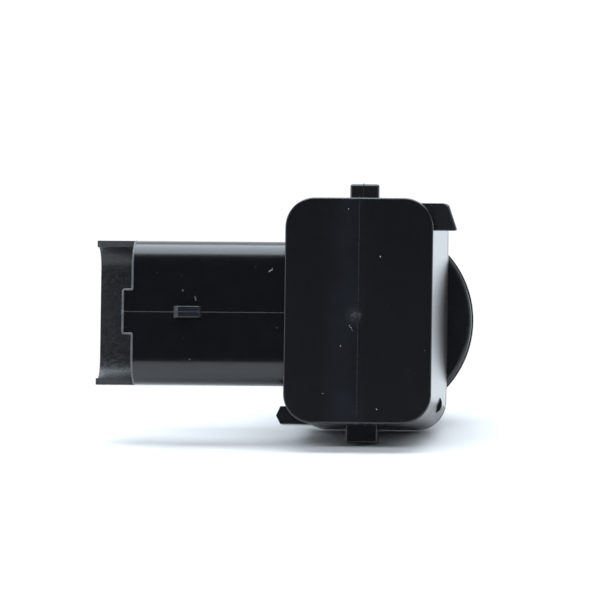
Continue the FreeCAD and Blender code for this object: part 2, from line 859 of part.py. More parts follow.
def pin_solder_joints():
    cones = []
    for label, place_in_row in SOLDERED_PINS.items():
        side, up = "pin_size + 2 * resin_gap", f"socket_rise + pin_pitch * {place_in_row}"
        hole = box_shape(f"{label}_solder_hole", side, "2 * solder_height", side, "-pin_foot", "-board_front", up)
        cones.append(solder_cone(f"{label}_solder", "pin_solder_foot", "pin_solder_top", hole, "-pin_foot", up))
    return group("pin_solder_joints", cones)


def wire_solder_joints():
    cones = []
    for name, across in (("signal", "wire_signal_side"), ("ground", "-wire_ground_foot")):
        hole = doc.addObject("Part::Cylinder", f"{name}_wire_hole")
        hole.setExpression("Radius", dim("wire_radius + resin_gap"))
        hole.setExpression("Height", dim("2 * solder_height"))
        place(hole, across, "-board_front", "0", Rotation(Vector(1, 0, 0), -90))
        cones.append(solder_cone(f"{name}_wire_solder", "wire_solder_foot", "wire_solder_top", hole, across, "0"))
    return group("wire_solder_joints", cones)


def signal_chip():
    part = new_body("signal_chip")
    outline = new_sketch(part, "chip_outline", "XZ_Plane")
    draw_rectangle(outline, "chip_width", "chip_length")
    pad(part, outline, "chip_thick", reverse=True)
    front = size("chip_thick")
    dress(part, "Chamfer", "edge_round", lambda edge: flat_at(edge, front))
    place(part, "chip_side", "-board_front + chip_stand", "-chip_drop")
    return part


def chip_lead(name, side, place_in_row):
    """A gull-wing lead: out of the chip, down, and out along the board. It starts at the chip's wall."""
    part = new_body(name)
    wall = "chip_width / 2"
    foot, rise, thick = "chip_lead_reach", "chip_lead_rise", "chip_lead_thick"
    profile = new_sketch(part, f"{name}_profile", "XY_Plane")
    knee = f"{foot} / 2"
    corners = [
        ("0", rise),
        ("0", f"{rise} + {thick}"),
        (f"{knee} + {thick}", f"{rise} + {thick}"),
        (f"{knee} + {thick}", thick),
        (foot, thick),
        (foot, "0"),
        (knee, "0"),
        (knee, rise),
    ]
    if side < 0:
        corners = [(f"-( {across} )", ahead) for across, ahead in corners]
    draw_polygon(profile, corners)
    pad(part, profile, "chip_lead_width", midplane=True)
    offset = f"-chip_drop + chip_lead_pitch * ( {place_in_row} )"
    place(part, f"chip_side + {side} * {wall}", "-board_front", offset)
    return part


def chip_leads():
    rows = (-1.5, -0.5, 0.5, 1.5)
    leads = [chip_lead(f"chip_lead_{s}_{i}", side, at) for s, side in enumerate((-1, 1)) for i, at in enumerate(rows)]
    return group("chip_leads", leads)


def transformer():
    """Step-up transformer: a drum core with its winding on a square base, under a ferrite shield."""
    top = "-board_front + coil_base_thick"
    base = new_body("transformer_base")
    outline = new_sketch(base, "coil_base_outline", "XZ_Plane")
    draw_rectangle(outline, "coil_base_side", "coil_base_side")
    pad(base, outline, "coil_base_thick", reverse=True)
    place(base, "0", "-board_front", "coil_up")

    core = turned(
        "transformer_core",
        [
            ("0", "0"),
            ("coil_flange_radius", "0"),
            ("coil_flange_radius", "coil_flange_thick"),
            ("coil_hub_radius", "coil_flange_thick"),
            ("coil_hub_radius", "coil_height - coil_flange_thick"),
            ("coil_flange_radius", "coil_height - coil_flange_thick"),
            ("coil_flange_radius", "coil_height"),
            ("0", "coil_height"),
        ],
    )
    place(core, "0", top, "coil_up")

    winding = turned(
        "transformer_winding",
        [
            ("coil_hub_radius + coil_clear", "coil_flange_thick + coil_clear"),
            ("coil_wire_radius", "coil_flange_thick + coil_clear"),
            ("coil_wire_radius", "coil_height - coil_flange_thick - coil_clear"),
            ("coil_hub_radius + coil_clear", "coil_height - coil_flange_thick - coil_clear"),
        ],
    )
    place(winding, "0", top, "coil_up")

    shield = new_body("transformer_shield")
    outer = new_sketch(shield, "shield_outline", "XZ_Plane")
    draw_rectangle(outer, "shield_side", "shield_side")
    pad(shield, outer, "shield_height", reverse=True)
    inner = new_sketch(shield, "shield_inside", "XZ_Plane")
    draw_rectangle(inner, "shield_side - 2 * shield_wall", "shield_side - 2 * shield_wall")
    pocket(shield, inner, "shield_height - shield_wall")
    height = size("shield_height")
    dress(shield, "Fillet", "edge_round", lambda edge: along_axis("Y", edge) and near(edge.Length, height))
    place(shield, "0", top, "coil_up")
    return [base, core, winding, shield]


def storage_capacitor():
    part = new_body("storage_capacitor")
    base = new_sketch(part, "can_base", "XZ_Plane")
    draw_rectangle(base, "can_base_side", "can_base_side")
    pad(part, base, "can_base_thick", reverse=True)
    can = new_sketch(part, "can_outline", "XY_Plane")
    waist = "can_radius - can_groove"
    draw_polygon(
        can,
        [
            ("0", "0"),
            ("can_radius", "0"),
            ("can_radius", "can_groove_at - can_groove"),
            (waist, "can_groove_at"),
            ("can_radius", "can_groove_at + can_groove"),
            ("can_radius", "can_height"),
            ("0", "can_height"),
        ],
    )
    revolve(part, can)
    top = size("can_height")
    dress(part, "Fillet", "edge_round", lambda edge: flat_at(edge, top))
    place(part, "-can_side", "-board_front", "-can_drop")
    return part


def protection_diode():
    part = new_body("protection_diode")
    outline = new_sketch(part, "diode_outline", "XZ_Plane")
    draw_rectangle(outline, "diode_length", "diode_width")
    pad(part, outline, "diode_thick", reverse=True)
    front = size("diode_thick")
    dress(part, "Chamfer", "edge_round", lambda edge: flat_at(edge, front))
    place(part, "diode_side", "-board_front", "-diode_drop")
    return part


def passives(label, spots, thick):
    chips = [
        box_shape(f"{label}_{i}", "passive_length", thick, "passive_width", str(across), "-board_front", str(up))
        for i, (across, up) in enumerate(spots)
    ]
    return group(label, chips)


def potting_compound():
    """Resin that fills the well behind the board, round the pins."""
    part = new_body("potting_compound")
    outline = new_sketch(part, "resin_outline", "XZ_Plane", "board_rear + resin_gap")
    trim = "2 * case_wall + 2 * ledge + 2 * resin_gap"
    draw_rectangle(outline, f"case_width - ( {trim} )", f"case_height - ( {trim} )", along="case_rise")
    pad(part, outline, "case_rear - case_wall - board_rear - 2 * resin_gap")
    channel = new_sketch(part, "pin_channels", "XZ_Plane", "board_rear + resin_gap")
    side = "2 * resin_channel"
    for place_in_row in SOLDERED_PINS.values():
        rise = f"socket_rise + pin_pitch * {place_in_row}"
        low, high = f"{rise} - resin_channel", f"{rise} + resin_channel"
        left, right = "-case_width / 2", f"-pin_foot + {side}"
        draw_polygon(channel, [(left, low), (right, low), (right, high), (left, high)])
    draw_circle(channel, "wire_radius + resin_gap", "wire_signal_side")
    draw_circle(channel, "wire_radius + resin_gap", "-wire_ground_foot")
    pocket(part, channel, "pin_behind + resin_channel - board_rear", reverse=True)
    return part


def build():
    parts = [rear_housing(), pin_carrier()]
    parts += [contact_pin(label, place_in_row) for label, place_in_row in SOLDERED_PINS.items()]
    parts += [front_carrier(), membrane_cup(), decoupling_ring()]
    seat = "seat_behind - cup_behind"
    parts.append(disc("cup_isolator", "isolator_radius", "-cup_behind", seat, bore="isolator_bore"))
    parts.append(disc("piezo_disc", "piezo_radius", "cup_ahead - membrane_thick", "piezo_thick"))
    parts += [damping_felt(), backing_foam(), transducer_base(), *lead_wires()]
    parts += [circuit_board(), signal_chip(), chip_leads(), *transformer(), storage_capacitor(), protection_diode()]
    parts.append(passives("chip_resistors", RESISTOR_SPOTS, "resistor_thick"))
    parts.append(passives("chip_capacitors", CAPACITOR_SPOTS, "capacitor_thick"))
    parts += [pin_solder_joints(), wire_solder_joints(), potting_compound()]
    return parts


def check_document(parts):
    doc.recompute()
    broken = [obj.Name for obj in doc.Objects if {"Invalid", "Error"} & set(obj.State)]
    if broken:
        raise RuntimeError(f"failed objects: {broken}")
    for part in parts:
        if part.Shape.isNull() or not part.Shape.isValid():
            raise RuntimeError(f"{part.Label} has no valid shape")


def export(parts):
    os.makedirs("parts", exist_ok=True)
    for part in parts:
        part.Shape.exportStep(f"parts/{part.Label}.step")
        print(part.Label, "solids", len(part.Shape.Solids), "mm3", round(part.Shape.Volume, 2))


sub_parts = build()
check_document(sub_parts)
export(sub_parts)
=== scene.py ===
"""The looks of a black ultrasonic proximity sensor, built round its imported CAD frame.

Places and sizes are in millimetres, in the CAD model's own axes, and MM turns them into Blender's
metres. The membrane faces +Y, +Z is up, and the connector socket points along -X.
"""

import json
import math
import random

import bmesh
import bpy
from mathutils import Matrix, Vector


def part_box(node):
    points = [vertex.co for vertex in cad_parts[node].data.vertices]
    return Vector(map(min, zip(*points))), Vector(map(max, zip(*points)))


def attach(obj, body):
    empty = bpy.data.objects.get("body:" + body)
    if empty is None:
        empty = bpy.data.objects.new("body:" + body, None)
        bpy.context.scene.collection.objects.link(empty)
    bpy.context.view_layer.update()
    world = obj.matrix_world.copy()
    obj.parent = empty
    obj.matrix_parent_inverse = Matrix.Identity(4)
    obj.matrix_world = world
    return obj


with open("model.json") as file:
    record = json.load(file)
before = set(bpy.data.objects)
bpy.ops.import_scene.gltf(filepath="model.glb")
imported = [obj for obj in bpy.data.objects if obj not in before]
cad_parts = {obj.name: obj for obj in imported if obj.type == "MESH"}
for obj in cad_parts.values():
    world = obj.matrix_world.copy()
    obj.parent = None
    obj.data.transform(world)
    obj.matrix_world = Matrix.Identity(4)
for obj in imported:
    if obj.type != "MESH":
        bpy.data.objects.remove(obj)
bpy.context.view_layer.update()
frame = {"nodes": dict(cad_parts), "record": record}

MM = 0.001
BODY = "sensor"
RING_BODY = "ring"

# Camera: far off, so that the view is nearly parallel, a little to the case's right and below it.
CAMERA_AZIMUTH = 7.1
CAMERA_ELEVATION = -2.9
CAMERA_ROLL = 0.8
CAMERA_DISTANCE = 3000
CAMERA_AIM = Vector((-6.8, -10.4, 1.23))
CAMERA_NEAR_CLIP = 10
CAMERA_FAR_CLIP = 20000
VIEW_WIDTH = 67.78
SENSOR_WIDTH = 36.0

# The part rests on its lower lug and its cover's lower edge, so the floor rises towards its front.
# FLOOR_LENGTHS are the floor's reaches behind and ahead of the lug's foot.
LUG_FRONT = -10.6
COVER_FRONT = -2.6
FLOOR_GAP = 0.02
FLOOR_LENGTHS = (-110, 20)
FLOOR_HALF_WIDTH = 120
FLOOR_CORNER = 18
CORNER_STEPS = 12

# Each light: its centre, width, height, brightness and tint, and the kinds of ray that see it.
SOFTBOXES = {
    "top_softbox": ((0, -18, 260), 360, 274, 5.3, (0.80, 0.92, 1.0), "glossy"),
    "left_softbox": ((-300, -70, 40), 200, 260, 2.4, (0.82, 0.92, 1.0), "both"),
    "right_softbox": ((300, -110, 60), 160, 220, 1.2, (0.82, 0.92, 1.0), "both"),
    "back_softbox": ((130, 330, -15), 240, 260, 1.2, (0.80, 0.89, 1.0), "glossy"),
    "rim_softbox": ((320, 150, 20), 160, 220, 3.4, (0.82, 0.90, 1.0), "glossy"),
    "high_softbox": ((0, -120, 275), 560, 100, 4.4, (0.92, 0.96, 1.0), "diffuse"),
    "soft_fill": ((0, -20, 300), 400, 150, 3.0, (0.92, 0.96, 1.0), "diffuse"),
    "low_strip": ((0, -272, 120), 500, 50, 9.5, (0.92, 0.96, 1.0), "diffuse"),
}
SOFTBOX_AIM = Vector((0, -10, 0))

# The surroundings: white to the camera, and to other rays a tint that brightens towards +Y.
BACKDROP_STRENGTH = 1.02
ROOM_TINT = (0.90, 0.95, 1.0, 1)
ROOM_FADE = {"From Min": -0.4, "From Max": 0.6, "To Min": 0.06, "To Max": 1.15}

# The case, where the CAD model has it. CASE_SEAM is where its cover begins.
CASE_LOW, CASE_HIGH = -12.26, 12.84
CASE_REAR, CASE_SEAM, CASE_EDGE = -17.4, -3.65, 0.22
CASE_SIDE = 8.275

# The upper lug: its top falls by LUG_FALL towards the front, and LUG_RIDGE is its ridge's X.
LUG_REAR, LUG_BASE, LUG_TOP = -12.9, 12.7, 14.67
LUG_EDGE, LUG_FALL, LUG_RIDGE = 0.35, 0.36, -0.12

# The socket: a rear wall with a tongue, and beyond TRIM_PLANE a longer wall. NOSE is the coding
# nose's side as (X, height over the rear wall).
SOCKET_START, SOCKET_REAR, SOCKET_MIDDLE = -11.585, -16.6, 0.05
SOCKET_HALF, SOCKET_CORNER = 8.0, 3.0
MOUTH_END, TONGUE_END, TONGUE_HALF = -25.4, -26.45, 2.5
TRIM_PLANE = -13.7
NOSE = [(-17.55, 0.0), (-17.8, 0.5), (-20.2, 0.5), (-20.7, 0.0)]
NOSE_EDGE = 0.12

SCENE = bpy.context.scene


# ------------------------------------------------------------ camera, floor and light


def add_camera():
    """The photograph's viewing angle, as the scene's camera."""
    azimuth, elevation = math.radians(CAMERA_AZIMUTH), math.radians(CAMERA_ELEVATION)
    level = math.cos(elevation)
    back = Vector((math.sin(azimuth) * level, -math.cos(azimuth) * level, math.sin(elevation)))
    data = bpy.data.cameras.new("camera")
    data.sensor_width = SENSOR_WIDTH
    data.lens = SENSOR_WIDTH * CAMERA_DISTANCE / VIEW_WIDTH
    data.clip_start = CAMERA_NEAR_CLIP * MM
    data.clip_end = CAMERA_FAR_CLIP * MM
    camera = bpy.data.objects.new("camera", data)
    SCENE.collection.objects.link(camera)
    turn = back.to_track_quat("Z", "Y").to_matrix().to_4x4()
    roll = Matrix.Rotation(math.radians(CAMERA_ROLL), 4, "Z")
    place = (CAMERA_AIM + back * CAMERA_DISTANCE) * MM
    camera.matrix_world = Matrix.Translation(place) @ turn @ roll
    SCENE.camera = camera


def add_floor():
    """A pale sheet with round corners, under the lower lug's foot and the cover's lower edge."""
    lug_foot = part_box("rear_housing")[0].z / MM
    cover_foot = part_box("front_carrier")[0].z / MM
    tilt = math.atan2(cover_foot - lug_foot, COVER_FRONT - LUG_FRONT)
    near, far = FLOOR_LENGTHS
    starts = [
        (FLOOR_HALF_WIDTH, far, 0),
        (-FLOOR_HALF_WIDTH, far, 90),
        (-FLOOR_HALF_WIDTH, near, 180),
        (FLOOR_HALF_WIDTH, near, 270),
    ]
    outline = []
    for x, y, start in starts:
        along_y = FLOOR_CORNER if y == near else -FLOOR_CORNER
        centre = Vector((x, y)) + Vector((-math.copysign(FLOOR_CORNER, x), along_y))
        for step in range(CORNER_STEPS + 1):
            angle = math.radians(start + 90 * step / CORNER_STEPS)
            outline.append(centre + FLOOR_CORNER * Vector((math.cos(angle), math.sin(angle))))
    mesh = bmesh.new()
    mesh.faces.new([mesh.verts.new((x * MM, y * MM, 0)) for x, y in outline])
    floor = finish_mesh("floor", mesh, floor_material("floor_paper"), smooth=False)
    foot = Vector((0, LUG_FRONT, lug_foot - FLOOR_GAP)) * MM
    floor.matrix_world = Matrix.Translation(foot) @ Matrix.Rotation(tilt, 4, "X")


def add_lights():
    """The soft boxes, each turned to face SOFTBOX_AIM."""
    for name, (centre, width, height, brightness, tint, seen_by) in SOFTBOXES.items():
        data = bpy.data.lights.new(name, "AREA")
        data.shape = "RECTANGLE"
        data.size, data.size_y = width * MM, height * MM
        data.energy = brightness * math.pi * data.size * data.size_y
        data.color = tint
        light = bpy.data.objects.new(name, data)
        SCENE.collection.objects.link(light)
        turn = (Vector(centre) - SOFTBOX_AIM).to_track_quat("Z", "Y").to_matrix().to_4x4()
        light.matrix_world = Matrix.Translation(Vector(centre) * MM) @ turn
        light.visible_camera = False
        light.visible_diffuse = seen_by != "glossy"
        light.visible_glossy = seen_by != "diffuse"


def add_world():
    """White behind the part, and darker towards its rear, so that its rear face stays dark."""
    world = bpy.data.worlds.new("studio")
    world.use_nodes = True
    tree = world.node_tree
    tree.nodes.clear()
    output = tree.nodes.new("ShaderNodeOutputWorld")
    seen = tree.nodes.new("ShaderNodeBackground")
    seen.inputs["Color"].default_value = (1, 1, 1, 1)
    seen.inputs["Strength"].default_value = BACKDROP_STRENGTH
    coords = tree.nodes.new("ShaderNodeTexCoord")
    split = tree.nodes.new("ShaderNodeSeparateXYZ")
    tree.links.new(coords.outputs["Generated"], split.inputs[0])
    fade = tree.nodes.new("ShaderNodeMapRange")
    fade.interpolation_type = "SMOOTHSTEP"
    for socket, value in ROOM_FADE.items():
        fade.inputs[socket].default_value = value
    tree.links.new(split.outputs["Y"], fade.inputs["Value"])
    lit = tree.nodes.new("ShaderNodeBackground")
    lit.inputs["Color"].default_value = ROOM_TINT
    tree.links.new(fade.outputs["Result"], lit.inputs["Strength"])
    path = tree.nodes.new("ShaderNodeLightPath")
    mix = tree.nodes.new("ShaderNodeMixShader")
    tree.links.new(path.outputs["Is Camera Ray"], mix.inputs["Fac"])
    tree.links.new(lit.outputs[0], mix.inputs[1])
    tree.links.new(seen.outputs[0], mix.inputs[2])
    tree.links.new(mix.outputs[0], output.inputs["Surface"])
    SCENE.world = world


# ------------------------------------------------------------ materials


class Look:
    """A material under construction: a Principled shader and the nodes that vary it, in mm."""

    def __init__(self, name):
        self.material = bpy.data.materials.new(name)
        self.material.use_nodes = True
        self.tree = self.material.node_tree
        self.tree.nodes.clear()
        output = self.tree.nodes.new("ShaderNodeOutputMaterial")
        self.shader = self.tree.nodes.new("ShaderNodeBsdfPrincipled")
        self.tree.links.new(self.shader.outputs["BSDF"], output.inputs["Surface"])
        coords = self.tree.nodes.new("ShaderNodeTexCoord")
        scaled = self.tree.nodes.new("ShaderNodeVectorMath")
        scaled.operation = "SCALE"
        scaled.inputs["Scale"].default_value = 1 / MM
        self.tree.links.new(coords.outputs["Object"], scaled.inputs[0])
        self.place = scaled.outputs[0]
        self.axes = self.tree.nodes.new("ShaderNodeSeparateXYZ")
        self.tree.links.new(self.place, self.axes.inputs[0])

    def put(self, socket, value):
        """Links a node's output into a socket, or sets the socket to a plain value."""
        if isinstance(value, bpy.types.NodeSocket):
            self.tree.links.new(value, socket)
        else:
            socket.default_value = value

    def set(self, **values):
        """Sets the shader's inputs, named with _ for each space."""
        for name, value in values.items():
            if isinstance(value, tuple):
                value = (*value, 1)
            self.put(self.shader.inputs[name.replace("_", " ")], value)

    def noise(self, size, detail=3.0, roughness=0.55, stretch=None, distortion=0.0):
        """Noise from 0 to 1 whose blotches are size millimetres across."""
        node = self.tree.nodes.new("ShaderNodeTexNoise")
        node.inputs["Scale"].default_value = 1 / size
        node.inputs["Detail"].default_value = detail
        node.inputs["Roughness"].default_value = roughness
        node.inputs["Distortion"].default_value = distortion
        self.tree.links.new(self.stretched(stretch), node.inputs["Vector"])
        return node.outputs["Fac"]

    def stretched(self, stretch):
        """The place, with each axis multiplied: below 1 draws a pattern out along it."""
        if stretch is None:
            return self.place
        node = self.tree.nodes.new("ShaderNodeVectorMath")
        node.operation = "MULTIPLY"
        self.tree.links.new(self.place, node.inputs[0])
        node.inputs[1].default_value = stretch
        return node.outputs[0]

    def cells(self, size, feature="F1", output="Distance", stretch=None):
        """Cells about size millimetres across: the distance to a cell's centre or edge."""
        node = self.tree.nodes.new("ShaderNodeTexVoronoi")
        node.feature = feature
        node.inputs["Scale"].default_value = 1 / size
        self.tree.links.new(self.stretched(stretch), node.inputs["Vector"])
        return node.outputs[output]

    def maths(self, operation, first, second=0.0, third=0.0):
        """One step of arithmetic on numbers or nodes' outputs."""
        node = self.tree.nodes.new("ShaderNodeMath")
        node.operation = operation
        for socket, value in zip(node.inputs, (first, second, third)):
            self.put(socket, value)
        return node.outputs[0]

    def times(self, first, second):
        """The product, which for two masks is where both hold."""
        return self.maths("MULTIPLY", first, second)

    def remap(self, value, low, high, to_low=0.0, to_high=1.0, smooth=False):
        """A value's range stretched or turned over on to another, and held at its ends."""
        node = self.tree.nodes.new("ShaderNodeMapRange")
        if smooth:
            node.interpolation_type = "SMOOTHSTEP"
        self.put(node.inputs["Value"], value)
        ends = {"From Min": low, "From Max": high, "To Min": to_low, "To Max": to_high}
        for socket, number in ends.items():
            self.put(node.inputs[socket], number)
        return node.outputs["Result"]

    def mix(self, share, first, second):
        """A colour between two, each a plain (r, g, b) or a node's output."""
        node = self.tree.nodes.new("ShaderNodeMix")
        node.data_type = "RGBA"
        self.put(node.inputs["Factor"], share)
        for socket, colour in ((node.inputs[6], first), (node.inputs[7], second)):
            plain = not isinstance(colour, bpy.types.NodeSocket)
            self.put(socket, (*colour, 1) if plain else colour)
        return node.outputs[2]

    def blend(self, share, first, second):
        """A number between two."""
        return self.maths("MULTIPLY_ADD", share, self.maths("SUBTRACT", second, first), first)

    def axis(self, name):
        """X, Y or Z in millimetres."""
        return self.axes.outputs[name]

    def beyond(self, name, edge, soft, below=False):
        """1 past an edge along an axis and 0 before it, over a soft band."""
        ends = (1.0, 0.0) if below else (0.0, 1.0)
        return self.remap(self.axis(name), edge - soft, edge + soft, *ends, smooth=True)

    def bump(self, height, depth, under=None):
        """A bump of depth millimetres over height's 0 to 1 range, on top of another bump."""
        node = self.tree.nodes.new("ShaderNodeBump")
        node.inputs["Distance"].default_value = depth * MM
        self.tree.links.new(height, node.inputs["Height"])
        if under is not None:
            self.tree.links.new(under, node.inputs["Normal"])
        return node.outputs["Normal"]


def tinted(colour, factor):
    """A colour made darker or lighter."""
    return tuple(factor * part for part in colour)


def floor_material(name):
    """Matt, slightly uneven paper."""
    look = Look(name)
    look.set(
        Base_Color=look.mix(look.noise(30.0), (0.745, 0.765, 0.79), (0.775, 0.795, 0.82)),
        Roughness=look.remap(look.noise(0.4), 0, 1, 0.75, 0.9),
        Normal=look.bump(look.noise(0.3), 0.01),
    )
    return look.material


DUST_TINT, DUST_ROUGHNESS = (0.22, 0.23, 0.25), 0.8


def dust(look, colour, level, spacing, size):
    """Sparse pale specks over a colour and a roughness."""
    speck = look.remap(look.cells(spacing), size, 1.5 * size, 1.0, 0.0)
    chosen = look.remap(look.noise(1.6 * spacing, detail=0.0), 0.56, 0.60)
    share = look.times(speck, chosen)
    return look.mix(share, colour, DUST_TINT), look.blend(share, level, DUST_ROUGHNESS)


# The case plastic's colours, by region. A pair is the darkest and the palest of its blotches.
WALL_TINTS = (0.0068, 0.0073, 0.0086), (0.0102, 0.0109, 0.0127)
# Painted shade: the rear face and the socket's near wall are the walls' plastic, painted darker.
SHADED_FLAT_TINTS = (0.0016, 0.0019, 0.0028), (0.0034, 0.0038, 0.0052)
NOSE_TINT = (0.010, 0.0112, 0.015)
# Painted highlight: a blue sheen painted into the rear face's colour, in a band left of its middle.
PAINTED_SHEEN_TINT, PAINTED_SHEEN_MIDDLE, PAINTED_SHEEN_REACH, PAINTED_SHEEN_SHARE = (0.0075, 0.0092, 0.014), -1.6, 3.4, 0.7
HAZE_TINT, HAZE_MIDDLE, HAZE_REACH = (0.024, 0.026, 0.030), (-0.45, -0.25), (0.3, 1.3)
# Pale grains on the open socket wall. Below a height their much paler tint also paints a highlight
# along the wall's lower part.
SPECKLE_TINT, LOW_SPECKLE_AND_HIGHLIGHT_TINT = (0.032, 0.035, 0.041), (0.10, 0.106, 0.115)
CUT_TINTS, CUT_ROUGHNESS = ((0.014, 0.0155, 0.0175), (0.045, 0.047, 0.05)), 0.6
LOW_HIGHLIGHT_TOP = -5.0


class CaseRegions:
    """Masks of the case's regions: 1 inside a region, 0 outside and a short fade between."""

    def __init__(self, look):
        self.side = look.beyond("X", CASE_SIDE - 0.06, 0.05)
        self.face = look.beyond("Y", CASE_REAR + 0.06, 0.05, below=True)
        past_mouth = look.beyond("X", MOUTH_END - 0.1, 0.1, below=True)
        self.open_half = look.times(past_mouth, look.beyond("Y", TRIM_PLANE - 0.08, 0.03))
        at_trim = look.beyond("Y", TRIM_PLANE + 0.04, 0.03, below=True)
        self.cut = look.times(self.open_half, at_trim)
        # The rear face and the socket's near wall, where the colour paints shade.
        self.shaded_flats = look.beyond("Y", SOCKET_REAR + 0.25, 0.08, below=True)
        on_socket = look.beyond("X", SOCKET_START, 0.1, below=True)
        proud = look.beyond("Y", SOCKET_REAR - 0.15, 0.05, below=True)
        self.nose = look.times(on_socket, proud)
        # The open wall's lower part, where the pale speckle tint paints a highlight.
        self.low = look.beyond("Z", LOW_HIGHLIGHT_TOP, 1.0, below=True)
        self.haze = look.times(gate_haze(look), self.face)


def gate_haze(look):
    """A rough round patch at the gate on the rear face, fading away round it."""
    across = look.maths("SUBTRACT", look.axis("X"), HAZE_MIDDLE[0])
    up = look.maths("SUBTRACT", look.axis("Z"), HAZE_MIDDLE[1])
    squares = look.maths("ADD", look.maths("POWER", across, 2.0), look.maths("POWER", up, 2.0))
    round_patch = look.remap(look.maths("SQRT", squares), *HAZE_REACH, 1.0, 0.0, smooth=True)
    return look.times(round_patch, look.remap(look.noise(0.3, detail=4.0), 0.35, 0.65))


def case_colour(look, regions):
    """Near black, with the rear flats painted darker as shade, a painted blue sheen on the rear
    face, paler where the plastic is rough, and a painted highlight low on the open wall.
    """
    broad = look.noise(4.0, stretch=(1, 1, 0.35), distortion=0.6)
    # The rear flats take the darker tints as painted shade.
    colour = look.mix(regions.shaded_flats, look.mix(broad, *WALL_TINTS), look.mix(broad, *SHADED_FLAT_TINTS))
    colour = look.mix(regions.nose, colour, NOSE_TINT)
    # A painted sheen: a bluish highlight painted into the rear face's colour.
    across = look.maths("ABSOLUTE", look.maths("SUBTRACT", look.axis("X"), PAINTED_SHEEN_MIDDLE))
    painted_sheen = look.remap(across, 0.0, PAINTED_SHEEN_REACH, 1.0, 0.0, smooth=True)
    clouds = look.remap(look.noise(5.0), 0.35, 0.7)
    painted_sheen = look.times(painted_sheen, look.times(regions.face, clouds))
    colour = look.mix(look.times(painted_sheen, PAINTED_SHEEN_SHARE), colour, PAINTED_SHEEN_TINT)
    colour = look.mix(regions.haze, colour, HAZE_TINT)
    streak = look.noise(0.2, detail=5.0, roughness=0.75, stretch=(0.6, 1, 1))
    speckle = look.times(regions.open_half, look.remap(streak, 0.45, 0.75))
    # Pale grains on the open wall, paler low down as a painted highlight.
    colour = look.mix(speckle, colour, look.mix(regions.low, SPECKLE_TINT, LOW_SPECKLE_AND_HIGHLIGHT_TINT))
    return look.mix(regions.cut, colour, look.mix(look.noise(0.5, detail=5.0), *CUT_TINTS))


def case_roughness(look, regions, fine):
    """Glossy walls, and satin on the side, the rear face, the open wall and its cut edge."""
    level = look.remap(look.noise(1.7), 0.3, 0.7, 0.19, 0.25)
    satin = ((regions.side, 0.25, 0.33), (regions.face, 0.29, 0.37), (regions.open_half, 0.34, 0.5))
    for mask, smoothest, roughest in satin:
        level = look.blend(mask, level, look.remap(fine, 0.2, 0.8, smoothest, roughest))
    return look.blend(regions.cut, level, CUT_ROUGHNESS)


def case_plastic(name):
    """Black moulded case: glossy walls, a satin rear face, a grainy inner socket wall."""
    look = Look(name)
    regions = CaseRegions(look)
    fine = look.noise(0.11, detail=4.0, roughness=0.7)
    colour, level = case_colour(look, regions), case_roughness(look, regions, fine)
    colour, level = dust(look, colour, level, 1.3, 0.02)
    coarse = look.times(regions.open_half, look.noise(0.16, detail=3.0))
    rough_wall = look.bump(coarse, 0.02, under=look.bump(fine, 0.0012))
    waves = look.noise(5.0, detail=1.0, stretch=(1, 0.6, 0.5))
    normal = look.bump(waves, 0.012, under=rough_wall)
    look.set(Base_Color=colour, Roughness=level, Normal=normal, IOR=1.54)
    return look.material


def moulded(name, tint, rough, fibre=None):
    """Plain moulded plastic: flow marks, fine grain, a little dust, and glass fibres if given."""
    look = Look(name)
    fine = look.noise(0.12, detail=4.0, roughness=0.7)
    flow = look.noise(3.0, stretch=(1, 0.4, 1), distortion=0.8)
    colour = look.mix(flow, tinted(tint, 0.75), tinted(tint, 1.3))
    if fibre:
        lines = look.remap(look.noise(0.25, stretch=(0.2, 1, 1), detail=2.0), 0.6, 0.72)
        colour = look.mix(lines, colour, fibre)
    level = look.remap(fine, 0.2, 0.8, rough - 0.04, rough + 0.06)
    colour, level = dust(look, colour, level, 1.5, 0.02)
    normal = look.bump(look.noise(5.0), 0.006, under=look.bump(fine, 0.0015))
    look.set(Base_Color=colour, Roughness=level, Normal=normal, IOR=1.52)
    return look.material


def brushed_metal(name, tint, tarnish, rough, stretch):
    """Metal with fine lines drawn out along one axis and duller patches."""
    look = Look(name)
    lines = look.noise(0.12, detail=4.0, roughness=0.65, stretch=stretch)
    patch = look.remap(look.noise(0.9, detail=4.0), 0.45, 0.8)
    look.set(
        Base_Color=look.mix(patch, tint, tarnish),
        Metallic=1.0,
        Roughness=look.remap(lines, 0.25, 0.75, rough - 0.06, rough + 0.1),
        Normal=look.bump(lines, 0.002),
    )
    return look.material


def painted_membrane(name):
    """Satin black paint over aluminium: orange peel, tiny flakes and a few rubs to the primer."""
    look = Look(name)
    flake = look.remap(look.cells(0.07, output="Color"), 0.0, 1.0)
    rub = look.remap(look.noise(1.4, detail=6.0, roughness=0.75), 0.68, 0.74)
    paint = look.mix(flake, (0.013, 0.014, 0.016), (0.021, 0.0225, 0.026))
    look.set(
        Base_Color=look.mix(rub, paint, (0.055, 0.057, 0.06)),
        Roughness=look.remap(look.noise(0.5), 0.3, 0.7, 0.30, 0.38),
        Normal=look.bump(look.noise(0.45, detail=1.0), 0.004),
        Coat_Weight=0.35,
        Coat_Roughness=0.18,
    )
    return look.material


def silicone(name, tint, dusty):
    """Soft rubber: a bloom of dust, mould lines round the axis and a matt skin."""
    look = Look(name)
    bloom = look.remap(look.noise(0.8, detail=6.0, roughness=0.7), 0.4, 0.75)
    rings = look.noise(0.3, stretch=(0.05, 1, 0.05), detail=2.0)
    look.set(
        Base_Color=look.mix(look.times(bloom, 0.5), tint, dusty),
        Roughness=look.remap(bloom, 0, 1, 0.5, 0.72),
        Normal=look.bump(rings, 0.004, under=look.bump(look.noise(0.09), 0.003)),
        Sheen_Weight=0.15,
        Sheen_Roughness=0.5,
    )
    return look.material


